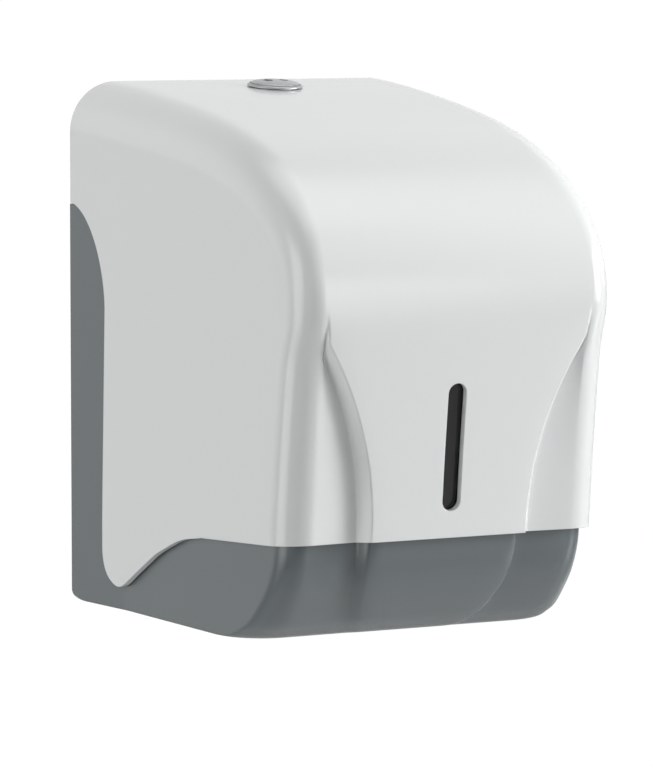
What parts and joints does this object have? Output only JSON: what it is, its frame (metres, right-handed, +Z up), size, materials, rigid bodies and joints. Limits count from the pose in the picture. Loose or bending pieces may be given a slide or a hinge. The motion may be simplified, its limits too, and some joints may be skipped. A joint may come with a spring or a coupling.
{
  "type": "toilet roll dispenser",
  "caption": "Wall-mounted toilet roll dispenser with a gloss white hinged cover, a grey base, a turning lock, a slim sight window and a telescopic spindle.",
  "frame": {"origin": "on the wall's plane, in the middle of the four wall screw holes", "axes": "+Z up; -Y out of the wall towards the user; +Y into the wall; +X to the right for a person who faces the dispenser"},
  "size_m": [0.125, 0.1494, 0.1692],
  "materials": {
    "base_plastic": "satin grey moulded plastic",
    "cover_plastic": "gloss white moulded plastic",
    "smoked_window": "smoked acrylic",
    "inner_white_plastic": "plain white moulded plastic",
    "lock_trim": "satin grey plating",
    "spring_steel": "bare spring steel",
    "plated_steel": "zinc-plated pressed steel",
    "screw_steel": "zinc-plated steel",
    "pin_steel": "turned steel",
    "arm_plastic": "satin grey moulded plastic",
    "spindle_grey": "satin grey moulded plastic",
    "spindle_white": "plain white moulded plastic",
    "blade_steel": "stamped stainless steel"
  },
  "bodies": {
    "housing": {"base_housing": "base_plastic", "latch_keeper": "plated_steel", "keeper_screw_1": "screw_steel", "keeper_screw_2": "screw_steel", "hinge_pin_left": "pin_steel", "hinge_pin_right": "pin_steel", "roll_arm_left": "arm_plastic", "roll_arm_right": "arm_plastic", "arm_screw_1": "screw_steel", "arm_screw_2": "screw_steel", "arm_screw_3": "screw_steel", "arm_screw_4": "screw_steel", "tear_strip": "blade_steel", "tear_strip_screw_1": "screw_steel", "tear_strip_screw_2": "screw_steel", "tear_strip_screw_3": "screw_steel"},
    "cover": {"front_cover": "cover_plastic", "window_pane": "smoked_window", "window_retainer": "inner_white_plastic", "lock_ring": "lock_trim", "lock_clip": "spring_steel"},
    "lock": {"lock_barrel": "lock_trim", "lock_cam": "plated_steel", "lock_cam_screw": "screw_steel"},
    "spindle": {"spindle_sleeve": "spindle_grey", "spindle_spring": "spring_steel"},
    "plunger": {"spindle_plunger": "spindle_white"}
  },
  "joints": [
    {"name": "cover_hinge", "type": "hinge", "parent": "housing", "child": "cover", "pos_m": [0, -0.033, -0.084], "axis": [1, 0, 0], "range_deg": [0, 90]},
    {"name": "lock_turn", "type": "hinge", "parent": "cover", "child": "lock", "pos_m": [0, -0.0229, 0.07005], "axis": [0, -0.1004, 0.9949], "range_deg": [0, 90]},
    {"name": "spindle_spin", "type": "hinge", "parent": "housing", "child": "spindle", "pos_m": [0, -0.068, -0.001], "axis": [1, 0, 0], "continuous": true},
    {"name": "spindle_compress", "type": "slide", "parent": "spindle", "child": "plunger", "axis": [-1, 0, 0], "range_m": [0, 0.012], "stiffness_N_per_m": 300, "springref_m": -0.01, "deforming": ["spindle_spring"]}
  ]
}
